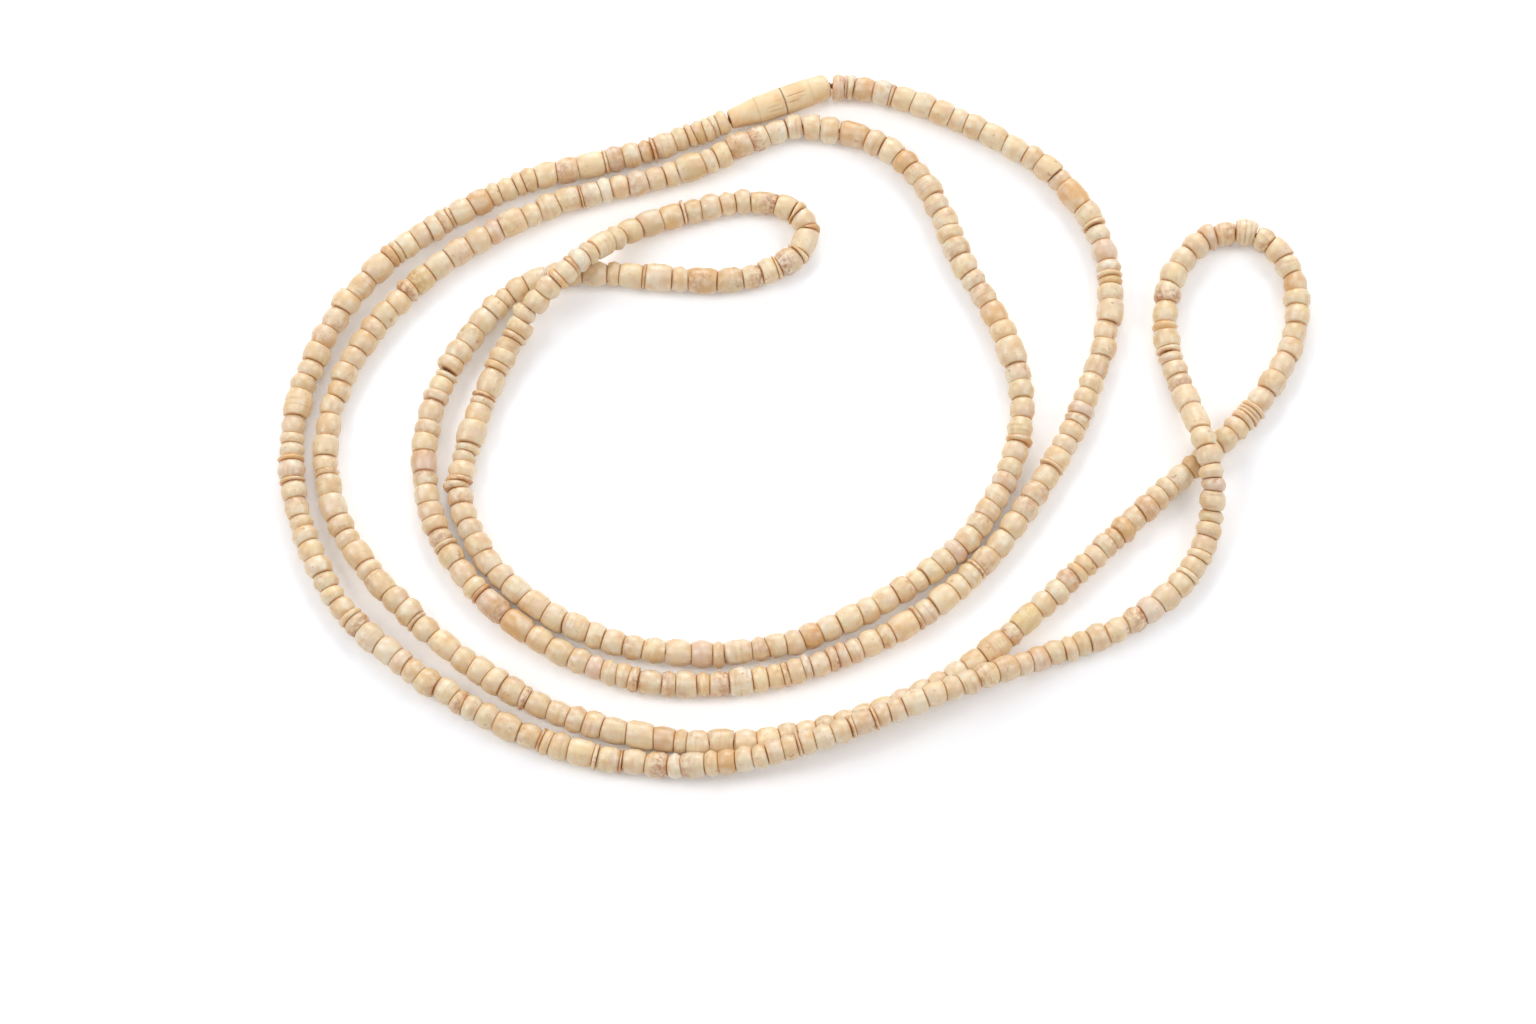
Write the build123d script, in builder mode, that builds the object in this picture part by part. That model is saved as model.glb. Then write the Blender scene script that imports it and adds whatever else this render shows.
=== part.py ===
"""Tulsi bead necklace: one closed string of small wooden beads and its screw clasp, laid flat in three rounds."""

import math
import os

from build123d import *

# Bead string, in millimetres
bead_diameter = 3.4
crossing_gap = 0.15
limp_bend_diameters = 3.0

# Where the string leaves the clasp: past each end face, and at the socket half a little to one side,
# where the thread turns out of its mouth
string_gap = 0.4
string_start_aside = 0.35

# The whole necklace is moved by this much, so that its box stands centred on the origin
move_x = -0.345
move_y = -1.653

# Screw clasp: the seam between its halves, the way its axis points and the halves' outlines
clasp_seam_x = -1.6
clasp_seam_y = 48.95
clasp_turn = 20.9
clasp_diameter = 4.0
seam_gap = 0.1
seam_rounding = 0.12
collar_step = 0.06
screw_collar_length = 3.9
screw_collar_end_diameter = 3.84
screw_tail_length = 4.0
screw_tail_end_diameter = 2.7
screw_tail_rounding = 0.3
socket_collar_length = 3.95
socket_collar_end_diameter = 3.94
socket_tail_length = 2.85
socket_tail_end_diameter = 3.5
socket_tail_rounding = 0.9
screw_diameter = 2.2
screw_clearance = 0.05
screw_length = 2.4

# Grooves for the fingers, cut lengthwise into both collars
groove_count = 16
groove_width = 0.24
groove_depth = 0.14
groove_margin = 0.45

# Thread, which runs through the beads and is knotted inside the clasp
thread_diameter = 0.7
thread_hole_clearance = 0.08
thread_reach = 0.25
knot_diameter = 1.3
knot_clearance = 0.1
mouth_depth = 0.55
mouth_flare = 0.25

# The string's way from the clasp's socket half round to its screw half, between its two ends.
# Each row is x, y and how far the string is lifted, as a share of one crossing.
string_route = [
    (9.6, 51.3, 0),
    (17.4, 48.7, 0),
    (26.3, 44.6, 0),
    (34.8, 39.5, 0),
    (41.2, 31.7, 0),
    (43.9, 22.0, 0),
    (42.4, 12.0, 0),
    (38.5, 1.0, 0),
    (32.3, -9.8, 0),
    (25.7, -19.3, 0),
    (16.7, -27.2, 0),
    (5.3, -33.1, 0),
    (-6.6, -36.3, 0),
    (-18.4, -36.6, 0),
    (-30.1, -33.0, 0),
    (-41.0, -25.4, 0),
    (-48.4, -15.8, 0),
    (-50.9, -4.4, 0),
    (-48.6, 6.7, 0),
    (-42.8, 16.4, 0),
    (-36.3, 22.4, 0),
    (-28.0, 23.3, 0),
    (-17.5, 22.1, 0),
    (-8.0, 21.7, 0),
    (-1.1, 24.1, 0),
    (2.3, 27.9, 0),
    (1.3, 32.0, 0),
    (-4.2, 34.1, 0),
    (-12.0, 33.0, 0),
    (-19.7, 30.8, 0),
    (-24.4, 28.0, 0.3),
    (-28.1, 24.7, 1.05),
    (-33.0, 20.3, 1.05),
    (-36.8, 16.3, 0.3),
    (-41.2, 8.0, 0),
    (-44.2, -1.0, 0),
    (-45.9, -10.4, 0),
    (-41.4, -19.9, 0),
    (-32.3, -27.5, 0),
    (-20.4, -31.8, 0),
    (-8.4, -32.5, 0),
    (2.9, -29.6, 0),
    (13.6, -23.9, 0),
    (22.9, -16.9, 0),
    (29.0, -7.3, 0),
    (31.8, 4.0, 0),
    (28.5, 15.3, 0),
    (22.6, 25.0, 0),
    (19.7, 34.5, 0),
    (13.2, 42.5, 0),
    (2.6, 45.6, 0),
    (-7.4, 41.6, 0),
    (-18.6, 37.1, 0),
    (-30.2, 34.7, 0),
    (-41.6, 29.6, 0),
    (-52.4, 21.6, 0),
    (-60.6, 11.3, 0),
    (-64.3, -1.2, 0),
    (-62.5, -12.7, 0),
    (-55.2, -23.2, 0),
    (-44.8, -32.9, 0),
    (-32.9, -40.2, 0),
    (-20.2, -44.0, 0),
    (-8.0, -44.9, 0),
    (4.0, -42.7, 0),
    (15.0, -38.7, 0),
    (24.6, -33.3, 0),
    (33.1, -25.3, 0),
    (42.4, -16.2, 0),
    (51.3, -7.7, 0),
    (59.7, -0.3, 0),
    (65.9, 7.4, 0),
    (69.2, 15.6, 0),
    (69.0, 23.4, 0),
    (64.4, 29.2, 0),
    (57.5, 29.2, 0),
    (52.0, 23.7, 0),
    (50.3, 15.6, 0),
    (51.8, 8.4, 0),
    (53.5, 3.4, 0.3),
    (54.8, -1.3, 1.04),
    (56.2, -6.9, 1.04),
    (56.4, -12.0, 0.3),
    (55.0, -17.8, 0),
    (50.9, -23.6, 0),
    (43.6, -28.6, 0),
    (34.4, -32.2, 0),
    (25.6, -35.8, 0.75),
    (16.6, -39.5, 0.97),
    (6.9, -43.6, 0.95),
    (-2.0, -46.6, 0.85),
    (-9.2, -48.0, 0.6),
    (-17.4, -47.9, 0),
    (-27.6, -46.4, 0),
    (-38.6, -42.4, 0),
    (-49.5, -35.7, 0),
    (-60.0, -27.4, 0),
    (-66.5, -15.6, 0),
    (-69.0, -3.0, 0),
    (-66.4, 9.8, 0),
    (-59.6, 22.3, 0),
    (-49.0, 30.8, 0),
    (-36.8, 37.4, 0),
    (-24.8, 40.0, 0),
    (-15.0, 43.3, 0),
]

# The string is made in two lengths, which meet in the middle of the run after this point
first_length_points = 54

arc_share = 0.45
bead_radius = bead_diameter / 2
crossing_height = bead_diameter + crossing_gap

# The clasp's own X runs along its axis from the seam into the socket half
clasp_radius = clasp_diameter / 2
seam_point = Vector(clasp_seam_x + move_x, clasp_seam_y + move_y, clasp_radius)
clasp_way = Vector(1, 0, 0).rotate(Axis.Z, clasp_turn)
clasp_plane = Plane(origin=seam_point, x_dir=clasp_way, z_dir=(0, 0, 1))
clasp_axis = Axis(seam_point, clasp_way)
screw_half_length = screw_collar_length + screw_tail_length
socket_half_length = seam_gap + socket_collar_length + socket_tail_length


def string_end(along, aside):
    """An end of the string, along the clasp's axis and aside from it, as high as a lying bead's centre."""
    end = seam_point + clasp_way * along - clasp_plane.y_dir * aside
    return Vector(end.X, end.Y, bead_radius)


def route_points():
    """The string's points in space: lying, its centre is one bead radius above the surface."""
    between = [
        Vector(x + move_x, y + move_y, bead_radius + lift * crossing_height)
        for x, y, lift in string_route
    ]
    start = string_end(socket_half_length + string_gap, string_start_aside)
    finish = string_end(-screw_half_length - string_gap, 0)
    return [start, *between, finish]


def bend_radius(before, corner, after):
    """The arc that takes up 0.45 of the shorter run on both sides of its corner."""
    run_in = corner - before
    run_out = after - corner
    half_turn = math.radians(run_in.get_angle(run_out)) / 2
    return arc_share * min(run_in.length, run_out.length) / math.tan(half_turn)


def string_length(name, points, radii):
    """One length of the bead string, as a round tube along straight runs joined by tangent arcs."""
    with BuildPart() as tube:
        with BuildLine() as way:
            FilletPolyline(*points, radius=radii)
        line = way.wires()[0]
        with BuildSketch(Plane(origin=line @ 0, z_dir=line % 0)):
            Circle(bead_radius)
        sweep(path=line)
    expected = math.pi * bead_radius**2 * line.length
    print(name, "length", round(line.length, 1), "volume share", round(tube.part.volume / expected, 4))
    return tube


os.makedirs("parts", exist_ok=True)

# Bead string
points = route_points()
radii = [bend_radius(*corner) for corner in zip(points, points[1:], points[2:])]
print("bend radii in bead diameters", [round(radius / bead_diameter, 1) for radius in radii])
if min(radii) <= bead_radius:
    raise ValueError("the string can't bend tighter than its own radius")
tight_bends = [radius for radius in radii if radius < limp_bend_diameters * bead_diameter]
print("bends under", limp_bend_diameters, "diameters, as at the small loop:", len(tight_bends))

meeting_point = (points[first_length_points - 1] + points[first_length_points]) / 2
first_points = points[:first_length_points] + [meeting_point]
second_points = [meeting_point] + points[first_length_points:]

bead_string_first = string_length("bead_string_first", first_points, radii[: first_length_points - 1])
bead_string_first.part.label = "bead_string_first"
export_step(bead_string_first.part, "parts/bead_string_first.step")

bead_string_second = string_length("bead_string_second", second_points, radii[first_length_points - 1 :])
bead_string_second.part.label = "bead_string_second"
export_step(bead_string_second.part, "parts/bead_string_second.step")

# Screw clasp
thread_radius = thread_diameter / 2
hole_radius = thread_radius + thread_hole_clearance
mouth_radius = hole_radius + mouth_flare
screw_radius = screw_diameter / 2
socket_radius = screw_radius + screw_clearance
knot_room = knot_diameter + knot_clearance
socket_depth = screw_length + 2 * knot_room + knot_clearance


def grooves(start, length):
    """The material that a collar loses to its grooves, from start over length, evenly round the axis."""
    start_plane = Plane(origin=seam_point + clasp_way * start, x_dir=clasp_plane.y_dir, z_dir=clasp_way)
    with BuildPart() as cut:
        with BuildSketch(start_plane):
            with PolarLocations(clasp_radius, groove_count):
                Rectangle(2 * groove_depth, groove_width)
        extrude(amount=length)
    return cut.part


screw_grooves = grooves(groove_margin - screw_collar_length, screw_collar_length - 2 * groove_margin)
socket_grooves = grooves(seam_gap + groove_margin, socket_collar_length - 2 * groove_margin)

# Screw half: collar, tapered tail and the screw that goes into the socket
with BuildPart() as clasp_screw_half:
    with BuildSketch(clasp_plane):
        with BuildLine():
            FilletPolyline(
                (screw_length, hole_radius),
                (screw_length, screw_radius),
                (0, screw_radius),
                (0, clasp_radius),
                (-screw_collar_length, screw_collar_end_diameter / 2),
                (-screw_collar_length, screw_collar_end_diameter / 2 - collar_step),
                (-screw_half_length, screw_tail_end_diameter / 2),
                (-screw_half_length, mouth_radius),
                (-screw_half_length + mouth_depth, hole_radius),
                radius=[0, 0, seam_rounding, 0, 0, screw_tail_rounding, 0],
            )
            Line((-screw_half_length + mouth_depth, hole_radius), (screw_length, hole_radius))
        make_face()
    revolve(axis=clasp_axis)
    add(screw_grooves, mode=Mode.SUBTRACT)
clasp_screw_half.part.label = "clasp_screw_half"
export_step(clasp_screw_half.part, "parts/clasp_screw_half.step")

# Socket half: collar, round tail and the socket that takes the screw and both knots
with BuildPart() as clasp_socket_half:
    socket_collar_end = seam_gap + socket_collar_length
    with BuildSketch(clasp_plane):
        with BuildLine():
            FilletPolyline(
                (seam_gap, socket_radius),
                (seam_gap, clasp_radius),
                (socket_collar_end, socket_collar_end_diameter / 2),
                (socket_collar_end, socket_collar_end_diameter / 2 - collar_step),
                (socket_half_length, socket_tail_end_diameter / 2),
                (socket_half_length, mouth_radius),
                (socket_half_length - mouth_depth, hole_radius),
                (socket_depth, hole_radius),
                (socket_depth, socket_radius),
                radius=[seam_rounding, 0, 0, socket_tail_rounding, 0, 0, 0],
            )
            Line((socket_depth, socket_radius), (seam_gap, socket_radius))
        make_face()
    revolve(axis=clasp_axis)
    add(socket_grooves, mode=Mode.SUBTRACT)
clasp_socket_half.part.label = "clasp_socket_half"
export_step(clasp_socket_half.part, "parts/clasp_socket_half.step")


def thread_end(knot_centre, outer_end):
    """A thread's last stretch along the clasp's axis, from its knot out of the clasp."""
    middle = (knot_centre + outer_end) / 2
    length = abs(outer_end - knot_centre)
    with BuildPart() as end:
        with BuildSketch(clasp_plane):
            with Locations((knot_centre, 0)):
                Circle(knot_diameter / 2)
            with Locations((middle, 0)):
                Rectangle(length, thread_diameter)
            with Locations((middle, knot_diameter / 2)):
                Rectangle(length + 2 * knot_diameter, knot_diameter, mode=Mode.INTERSECT)
        revolve(axis=clasp_axis)
    return end


# Thread ends: each passes out of its half of the clasp and is held by a knot inside the socket
thread_end_screw = thread_end(screw_length + knot_room / 2, -screw_half_length - thread_reach)
thread_end_screw.part.label = "thread_end_screw"
export_step(thread_end_screw.part, "parts/thread_end_screw.step")

thread_end_socket = thread_end(socket_depth - knot_room / 2, socket_half_length + thread_reach)
thread_end_socket.part.label = "thread_end_socket"
export_step(thread_end_socket.part, "parts/thread_end_socket.step")
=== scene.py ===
"""Tulsi bead necklace: its turned wooden beads, thread and screw clasp, laid flat in three rounds."""

import math
import re

import bpy
import numpy as np
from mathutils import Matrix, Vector


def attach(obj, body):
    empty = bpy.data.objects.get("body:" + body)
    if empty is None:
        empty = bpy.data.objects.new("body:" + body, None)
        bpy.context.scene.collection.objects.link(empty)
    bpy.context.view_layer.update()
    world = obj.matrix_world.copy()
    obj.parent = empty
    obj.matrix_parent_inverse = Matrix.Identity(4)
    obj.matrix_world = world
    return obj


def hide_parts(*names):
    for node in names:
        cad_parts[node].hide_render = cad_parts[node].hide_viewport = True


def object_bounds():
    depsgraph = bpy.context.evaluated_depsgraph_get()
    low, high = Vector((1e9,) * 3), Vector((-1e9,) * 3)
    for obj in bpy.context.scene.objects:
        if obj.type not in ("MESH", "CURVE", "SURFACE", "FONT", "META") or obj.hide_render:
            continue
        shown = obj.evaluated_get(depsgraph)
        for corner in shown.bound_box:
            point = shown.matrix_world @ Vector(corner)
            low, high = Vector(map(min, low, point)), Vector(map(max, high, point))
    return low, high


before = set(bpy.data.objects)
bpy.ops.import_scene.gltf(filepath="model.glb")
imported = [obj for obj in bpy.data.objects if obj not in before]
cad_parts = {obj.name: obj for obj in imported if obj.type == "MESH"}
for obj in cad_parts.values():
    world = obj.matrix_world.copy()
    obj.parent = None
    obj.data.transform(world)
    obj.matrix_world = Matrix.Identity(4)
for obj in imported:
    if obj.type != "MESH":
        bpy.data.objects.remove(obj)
cad_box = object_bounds()

bl_info = {
    "name": "Tulsi Bead Necklace",
    "version": (1, 0, 0),
    "blender": (4, 5, 0),
    "location": "3D View > Sidebar > Necklace",
    "description": "Strings turned basil wood beads along their route and finishes the screw clasp",
    "category": "Add Mesh",
}

MM = 0.001
# The photo's width in pixels, and the camera's sensor in millimetres
PHOTO_WIDTH = 1536
SENSOR_WIDTH = 36.0

# The clasp and the string's two ends, in millimetres and degrees, as in the solids
BEAD_RADIUS = 1.7
CROSSING_HEIGHT = 3.55
STRING_GAP = 0.4
STRING_START_ASIDE = 0.35
CLASP_SEAM = (-1.6, 48.95)
CLASP_TURN = 20.9
CLASP_RADIUS = 2.0
COLLAR_STEP = 0.06
SCREW_COLLAR_LENGTH = 3.9
SCREW_COLLAR_END_RADIUS = 1.92
SCREW_HALF_LENGTH = 7.9
SCREW_TAIL_RADIUS = 1.35
SCREW_TAIL_ROUNDING = 0.3
SOCKET_COLLAR_LENGTH = 3.95
SOCKET_COLLAR_END_RADIUS = 1.97
SOCKET_HALF_LENGTH = 6.9
SOCKET_TAIL_RADIUS = 1.75
SOCKET_TAIL_ROUNDING = 0.9
SCREW_LENGTH = 2.4
SCREW_RADIUS = 1.1
SOCKET_RADIUS = 1.15
SOCKET_DEPTH = 5.3
HOLE_RADIUS = 0.43
MOUTH_RADIUS = 0.68
MOUTH_DEPTH = 0.55
THREAD_REACH = 0.25
# The whole necklace is moved by this much, so that its box stands centred on the origin
MOVE = (-0.345, -1.653)

# Finer than in the solids, in millimetres: the seam is narrower and its edges crisper, as in the photo, and
# the collar's step and the mouth have small roundings
SEAM_GAP = 0.06
SEAM_ROUNDING = 0.05
STEP_SLOPE = 0.02
STEP_ROUNDING = 0.03
MOUTH_ROUNDING = 0.05

# The outlines of the clasp's halves: along the axis from the seam, radius and rounding
SCREW_HALF_OUTLINE = [
    (SCREW_LENGTH, HOLE_RADIUS, 0),
    (SCREW_LENGTH, SCREW_RADIUS, 0),
    (0, SCREW_RADIUS, 0),
    (0, CLASP_RADIUS, SEAM_ROUNDING),
    (-SCREW_COLLAR_LENGTH, SCREW_COLLAR_END_RADIUS, STEP_ROUNDING),
    (-SCREW_COLLAR_LENGTH - STEP_SLOPE, SCREW_COLLAR_END_RADIUS - COLLAR_STEP, 0),
    (-SCREW_HALF_LENGTH, SCREW_TAIL_RADIUS, SCREW_TAIL_ROUNDING),
    (-SCREW_HALF_LENGTH, MOUTH_RADIUS, MOUTH_ROUNDING),
    (-SCREW_HALF_LENGTH + MOUTH_DEPTH, HOLE_RADIUS, 0),
]
SOCKET_COLLAR_END = SEAM_GAP + SOCKET_COLLAR_LENGTH
SOCKET_HALF_OUTLINE = [
    (SOCKET_DEPTH, SOCKET_RADIUS, 0),
    (SOCKET_DEPTH, HOLE_RADIUS, 0),
    (SOCKET_HALF_LENGTH - MOUTH_DEPTH, HOLE_RADIUS, 0),
    (SOCKET_HALF_LENGTH, MOUTH_RADIUS, MOUTH_ROUNDING),
    (SOCKET_HALF_LENGTH, SOCKET_TAIL_RADIUS, SOCKET_TAIL_ROUNDING),
    (SOCKET_COLLAR_END + STEP_SLOPE, SOCKET_COLLAR_END_RADIUS - COLLAR_STEP, 0),
    (SOCKET_COLLAR_END, SOCKET_COLLAR_END_RADIUS, STEP_ROUNDING),
    (SEAM_GAP, CLASP_RADIUS, SEAM_ROUNDING),
    (SEAM_GAP, SOCKET_RADIUS, 0),
]

# Grooves in the two collars, read off: degrees round from the top towards the viewer, millimetres from
# the seam to where the groove starts, its length, and its depth as a share of the deepest
SCREW_HALF_GROOVES = [
    (-50, 0.5, 1.2, 0.3), (-25, 1.0, 1.7, 0.35), (-5, 0.45, 1.0, 0.2), (15, 0.3, 1.0, 0.45),
    (32, 0.8, 2.0, 0.6), (52, 0.4, 2.2, 0.8), (72, 1.5, 2.2, 0.6), (96, 0.6, 2.4, 0.4),
    (124, 0.4, 1.5, 0.35), (147, 0.5, 2.0, 0.35), (169, 0.4, 2.7, 0.4), (192, 0.5, 1.4, 0.35),
    (214, 0.4, 2.2, 0.35), (237, 0.4, 1.7, 0.4), (259, 0.5, 2.5, 0.35), (282, 0.4, 1.5, 0.35),
]
SOCKET_HALF_GROOVES = [
    (-67, 0.5, 1.6, 0.6), (-40, 0.4, 2.6, 0.5), (-14, 0.3, 1.8, 0.45), (12, 0.3, 2.9, 1.0),
    (29, 2.1, 0.9, 0.6), (38, 0.3, 1.8, 1.0), (60, 0.4, 1.2, 0.35), (82, 0.5, 1.0, 0.35),
    (98, 0.4, 1.4, 0.4), (113, 0.5, 2.4, 0.7), (136, 0.4, 1.8, 0.8), (158, 0.4, 3.0, 0.9),
    (181, 0.5, 2.0, 0.7), (203, 0.4, 2.7, 0.8), (226, 0.4, 1.5, 0.7), (248, 0.5, 2.9, 0.8),
    (271, 0.4, 2.1, 0.7),
]
# In millimetres: how far a groove fades in and out, the radius past which a point counts as on the outside,
# the longest piece of an outline, and the width over which the grime and painted shade in a mouth fade
GROOVE_FADE = 0.25
SKIN_RADIUS = 1.3
OUTLINE_STEP = 0.16
MOUTH_FADE = 0.2
# Points in the arc of a rounded corner
ARC_POINTS = 5
# How much grime and painted shade lie along the seam, and how much painted shade along the collar's step
EDGE_GRIME_AND_SHADE = (0.75, 0.2)
# How far the clasp's outside is from round, as a share of its radius
CLASP_WOBBLE = 0.004

# The string's way from the clasp's socket half round to its screw half, between its two ends.
# Each row is x, y and how far the string is lifted, as a share of one crossing.
STRING_ROUTE = [
    (9.6, 51.3, 0), (17.4, 48.7, 0), (26.3, 44.6, 0), (34.8, 39.5, 0), (41.2, 31.7, 0), (43.9, 22.0, 0),
    (42.4, 12.0, 0), (38.5, 1.0, 0), (32.3, -9.8, 0), (25.7, -19.3, 0), (16.7, -27.2, 0), (5.3, -33.1, 0),
    (-6.6, -36.3, 0), (-18.4, -36.6, 0), (-30.1, -33.0, 0), (-41.0, -25.4, 0), (-48.4, -15.8, 0),
    (-50.9, -4.4, 0), (-48.6, 6.7, 0), (-42.8, 16.4, 0), (-36.3, 22.4, 0), (-28.0, 23.3, 0),
    (-17.5, 22.1, 0), (-8.0, 21.7, 0), (-1.1, 24.1, 0), (2.3, 27.9, 0), (1.3, 32.0, 0), (-4.2, 34.1, 0),
    (-12.0, 33.0, 0), (-19.7, 30.8, 0), (-24.4, 28.0, 0.3), (-28.1, 24.7, 1.05), (-33.0, 20.3, 1.05),
    (-36.8, 16.3, 0.3), (-41.2, 8.0, 0), (-44.2, -1.0, 0), (-45.9, -10.4, 0), (-41.4, -19.9, 0),
    (-32.3, -27.5, 0), (-20.4, -31.8, 0), (-8.4, -32.5, 0), (2.9, -29.6, 0), (13.6, -23.9, 0),
    (22.9, -16.9, 0), (29.0, -7.3, 0), (31.8, 4.0, 0), (28.5, 15.3, 0), (22.6, 25.0, 0), (19.7, 34.5, 0),
    (13.2, 42.5, 0), (2.6, 45.6, 0), (-7.4, 41.6, 0), (-18.6, 37.1, 0), (-30.2, 34.7, 0),
    (-41.6, 29.6, 0), (-52.4, 21.6, 0), (-60.6, 11.3, 0), (-64.3, -1.2, 0), (-62.5, -12.7, 0),
    (-55.2, -23.2, 0), (-44.8, -32.9, 0), (-32.9, -40.2, 0), (-20.2, -44.0, 0), (-8.0, -44.9, 0),
    (4.0, -42.7, 0), (15.0, -38.7, 0), (24.6, -33.3, 0), (33.1, -25.3, 0), (42.4, -16.2, 0),
    (51.3, -7.7, 0), (59.7, -0.3, 0), (65.9, 7.4, 0), (69.2, 15.6, 0), (69.0, 23.4, 0), (64.4, 29.2, 0),
    (57.5, 29.2, 0), (52.0, 23.7, 0), (50.3, 15.6, 0), (51.8, 8.4, 0), (53.5, 3.4, 0.3),
    (54.8, -1.3, 1.04), (56.2, -6.9, 1.04), (56.4, -12.0, 0.3), (55.0, -17.8, 0), (50.9, -23.6, 0),
    (43.6, -28.6, 0), (34.4, -32.2, 0), (25.6, -35.8, 0.75), (16.6, -39.5, 0.97), (6.9, -43.6, 0.95),
    (-2.0, -46.6, 0.85), (-9.2, -48.0, 0.6), (-17.4, -47.9, 0), (-27.6, -46.4, 0), (-38.6, -42.4, 0),
    (-49.5, -35.7, 0), (-60.0, -27.4, 0), (-66.5, -15.6, 0), (-69.0, -3.0, 0), (-66.4, 9.8, 0),
    (-59.6, 22.3, 0), (-49.0, 30.8, 0), (-36.8, 37.4, 0), (-24.8, 40.0, 0), (-15.0, 43.3, 0),
]

# Stringing chart, read off: where a stretch starts along the string in millimetres, then its beads in
# order, each as its length in tenths of a millimetre and letters for what sets it apart. A stretch is fitted
# to end where the next one starts. Plain beads are cream. Tones: p pinkish, o orange-tan, w whitish,
# y yellow, d dark, for thin discs. Marks: s stained, r ringed. Shapes: b big, t with one slanted end.
# Places: x pushed out to the side, n by somewhat less, xn by both.
STRINGING_CHART = [
    (0.0, "17p 4d 9 29o 24w 4d 29 29 28 23 26 35 33 23 29 19 42o 28 8t 22w 31p 17w 8 10o 26 30 25 27 30 "
        "23 22 17p 14s"),
    (74.1, "22 20 25 5 29 26 27 30 34 29 5s 22 21 33 25 6s 37 18 28 19 15p 14s 24 11w 20 8s 21 20 31wb "
        "26s 18r 27 19 31 12s"),
    (150.0, "17 21 21p 25 33 31 42o 44p 5d 20 31 26 8 20 19 23p 25 20 29p 24 21 30 15 21 13t 18 25 28 31 "
        "22 17 25"),
    (225.0, "31 25 25 35 18 31 5d 35b 23 40o 35 26s 22 4 32s 5 35 5d 24 9t 26 36s 22 22 26 23 5s 30o 33 "
        "30 20"),
    (298.65, "33 16 20w 5d 19 10o 25 26 19x 22 9 19 20 10 37 5s 12 25 33b 12 16 22 6s 11x 22 25 23 27 29 "
        "25 32 34 30 34 23 29"),
    (375.35, "26 30 34 29p 15o 38 21 24 24 25o 29 29 24 33 23 23 24 21 20p 29 24 23 25 20p 22 27 8o 29 "
        "28 25"),
    (450.65, "26 40b 25 32o 30 22w 28 25 22 25 25 29 25 24o 27 23 42o 26 23n 24wxn 27wxn 25sxn 32xn 23n "
        "19 36y 20 25"),
    (525.75, "27w 24 17w 25w 3d 31 29 23 35 21p 30 34 32 32y 16s 27 26 23 27 25 26 24 26t 33 28 20 8s 30 "
        "32 24"),
    (601.7, "21 32 20 33 27 25 6 28 40 28 27 22 30 9s 31 29 21 26 33 37 28o 17 29 32 31 31 25 25"),
    (676.0, "26 28 25 29 27 26 28 27 30 40y 20 37y 27 22 22o 13 18 19 20 14 21o 23 22o 19 18 31 15o 20 "
        "20 25 21"),
    (749.5, "10 5 7 7 30 28 31 25 24 26 22 27o 27 27 25 29r 29r 18p 27 27 29 28s 30 12o 25 9t 14 22 21 "
        "35 42 27"),
    (824.05, "26 18 16p 27r 18 20 22 13 22 8 24 30 26p 26s 29 27 20 16 25 25p 22 30 28 24 24 27 31 21 20 "
        "4s 27 6s 24 25"),
    (899.0, "20 4s 20 22 18 24 22o 19 31 19w 31s 31 3d 30 5s 35 25 11 5d 30 33 28 20 17s 29 28 22 19 29 "
        "32 19s 9 26 20 22"),
    (974.8, "25 24 22 18 26 24 6o 25w 7o 19 15 25 37 23 23 26 28 31 28 33 37 12o 10 24 24 17 16 6s 30 "
        "28o 18 22 12 18 30"),
    (1051.65, "31 36 4s 23p 24 17o 4s 28 20 10 15o 10 10 15"),
]
# In millimetres: where the first of the string's two lengths ends, the shortest bead, the room left inside
# the solids' box, and how far along the string another strand must be to count as one beside a bead
FIRST_LENGTH_END = 530.8
SHORTEST_BEAD = 0.25
BOX_MARGIN = 0.01
SAME_STRAND = 20.0
# How far the end faces of two beads lean to meet flat at a bend, as a share of the turn between them
NESTING = 0.85
# How far a bead marked n is pushed, as a share of one marked x
SMALL_PUSH = 0.6
# In millimetres: beads shorter than these have shallower edges and less tilted joints
FULL_EDGE_LENGTH = 1.6
FULL_TILT_LENGTH = 1.5
# How many steps the line takes between two of the route's points, and how many places along the clasp the
# room beside it is looked at
LINE_STEPS = 24
CLASP_PROBES = 80

# Chance: its seed, and how many random numbers each bead has. By column they are 0 and 1 the edges' reach and
# depth, 2 the bead's turn, 3 to 5 the phases and the pattern's place, 6 the taper, 7 and 8 how far the end
# faces lean, 9 and 10 which way, and 11 the end that a stain starts from.
RANDOM_SEED = 27
CHANCES = 12
# Least and most: widths of plain beads as shares of the usual one, the reach along the bead and the depth of
# its rounded edges as shares of the usual rounding, and the rise of an end face
WIDTH_LIMITS = (0.91, 1.09)
EDGE_REACH = (0.7, 1.3)
EDGE_DEPTH = (0.25, 0.55)
FACE_LEAN = (0.005, 0.035)
# The most that an edge can reach and an end face can lean, as shares of the bead's length
EDGE_LIMIT = 0.42
LEAN_LIMIT = 0.35
# A dark disc's width as a share of the width that chance gives it
DISC_WIDTH = 0.95
# Where a bead's edge turns from its flat to its steep step, as shares of the edge's reach and depth
LIP_PLACE = 0.22
LIP_DIP = 0.62
# How far a bead is oval, three-sided and tapered, as shares of its radius
OVAL = 0.009
THREE_SIDED = 0.007
TAPER = 0.08
# How much each row of a bead's profile wears, from the hole over the barrel to the hole
ROW_WEAR = (0, 1, 1, 0.2, 0.2, 1, 1, 0)
# The most of another tone that a bead takes on, and the spread of its lightness
TONE_MIX = 0.35
LIGHT_SPREAD = 0.035
# On beads that the chart doesn't mark, the most of a stain or of rings, and how rare strong ones are, as
# powers of chance
STRAY_MARK = 0.7
STAIN_RARITY = 6
RING_RARITY = 4
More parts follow.
